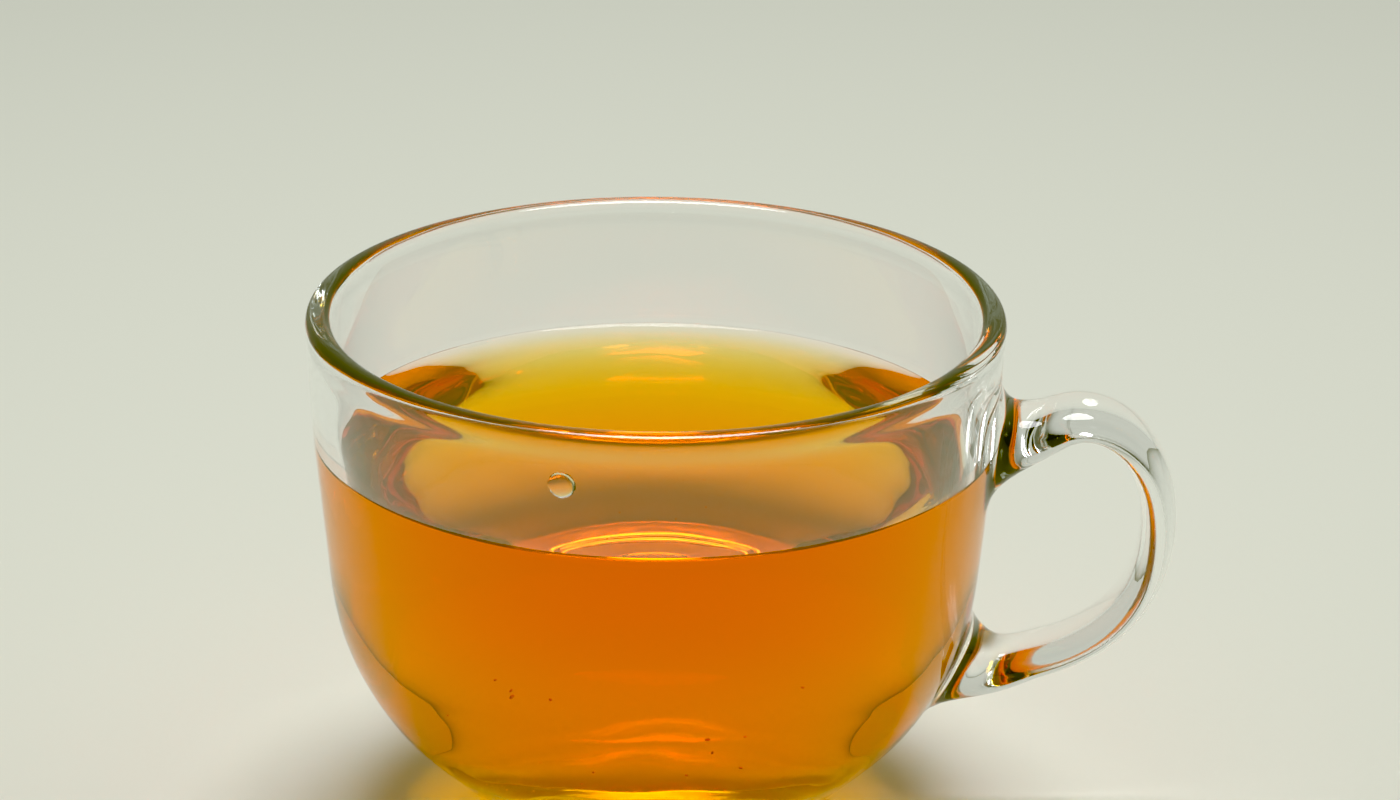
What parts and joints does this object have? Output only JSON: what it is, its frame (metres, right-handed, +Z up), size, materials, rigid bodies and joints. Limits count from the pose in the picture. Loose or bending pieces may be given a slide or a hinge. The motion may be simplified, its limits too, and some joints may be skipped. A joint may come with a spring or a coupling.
{
  "type": "glass cup of tea",
  "caption": "Clear glass cup with a rounded bowl and a bow handle, filled with amber tea to below the rim.",
  "frame": {"origin": "on the table under the middle of the cup, in the plane of the foot ring", "axes": "+Z up along the cup's axis, +X towards the handle"},
  "size_m": [0.1107, 0.0884, 0.0675],
  "materials": {
    "clear_glass": "clear, smooth, fire-polished rim",
    "tea": "clear amber liquid"
  },
  "bodies": {
    "root": {"glass_cup": "clear_glass", "tea": "tea"}
  },
  "joints": []
}
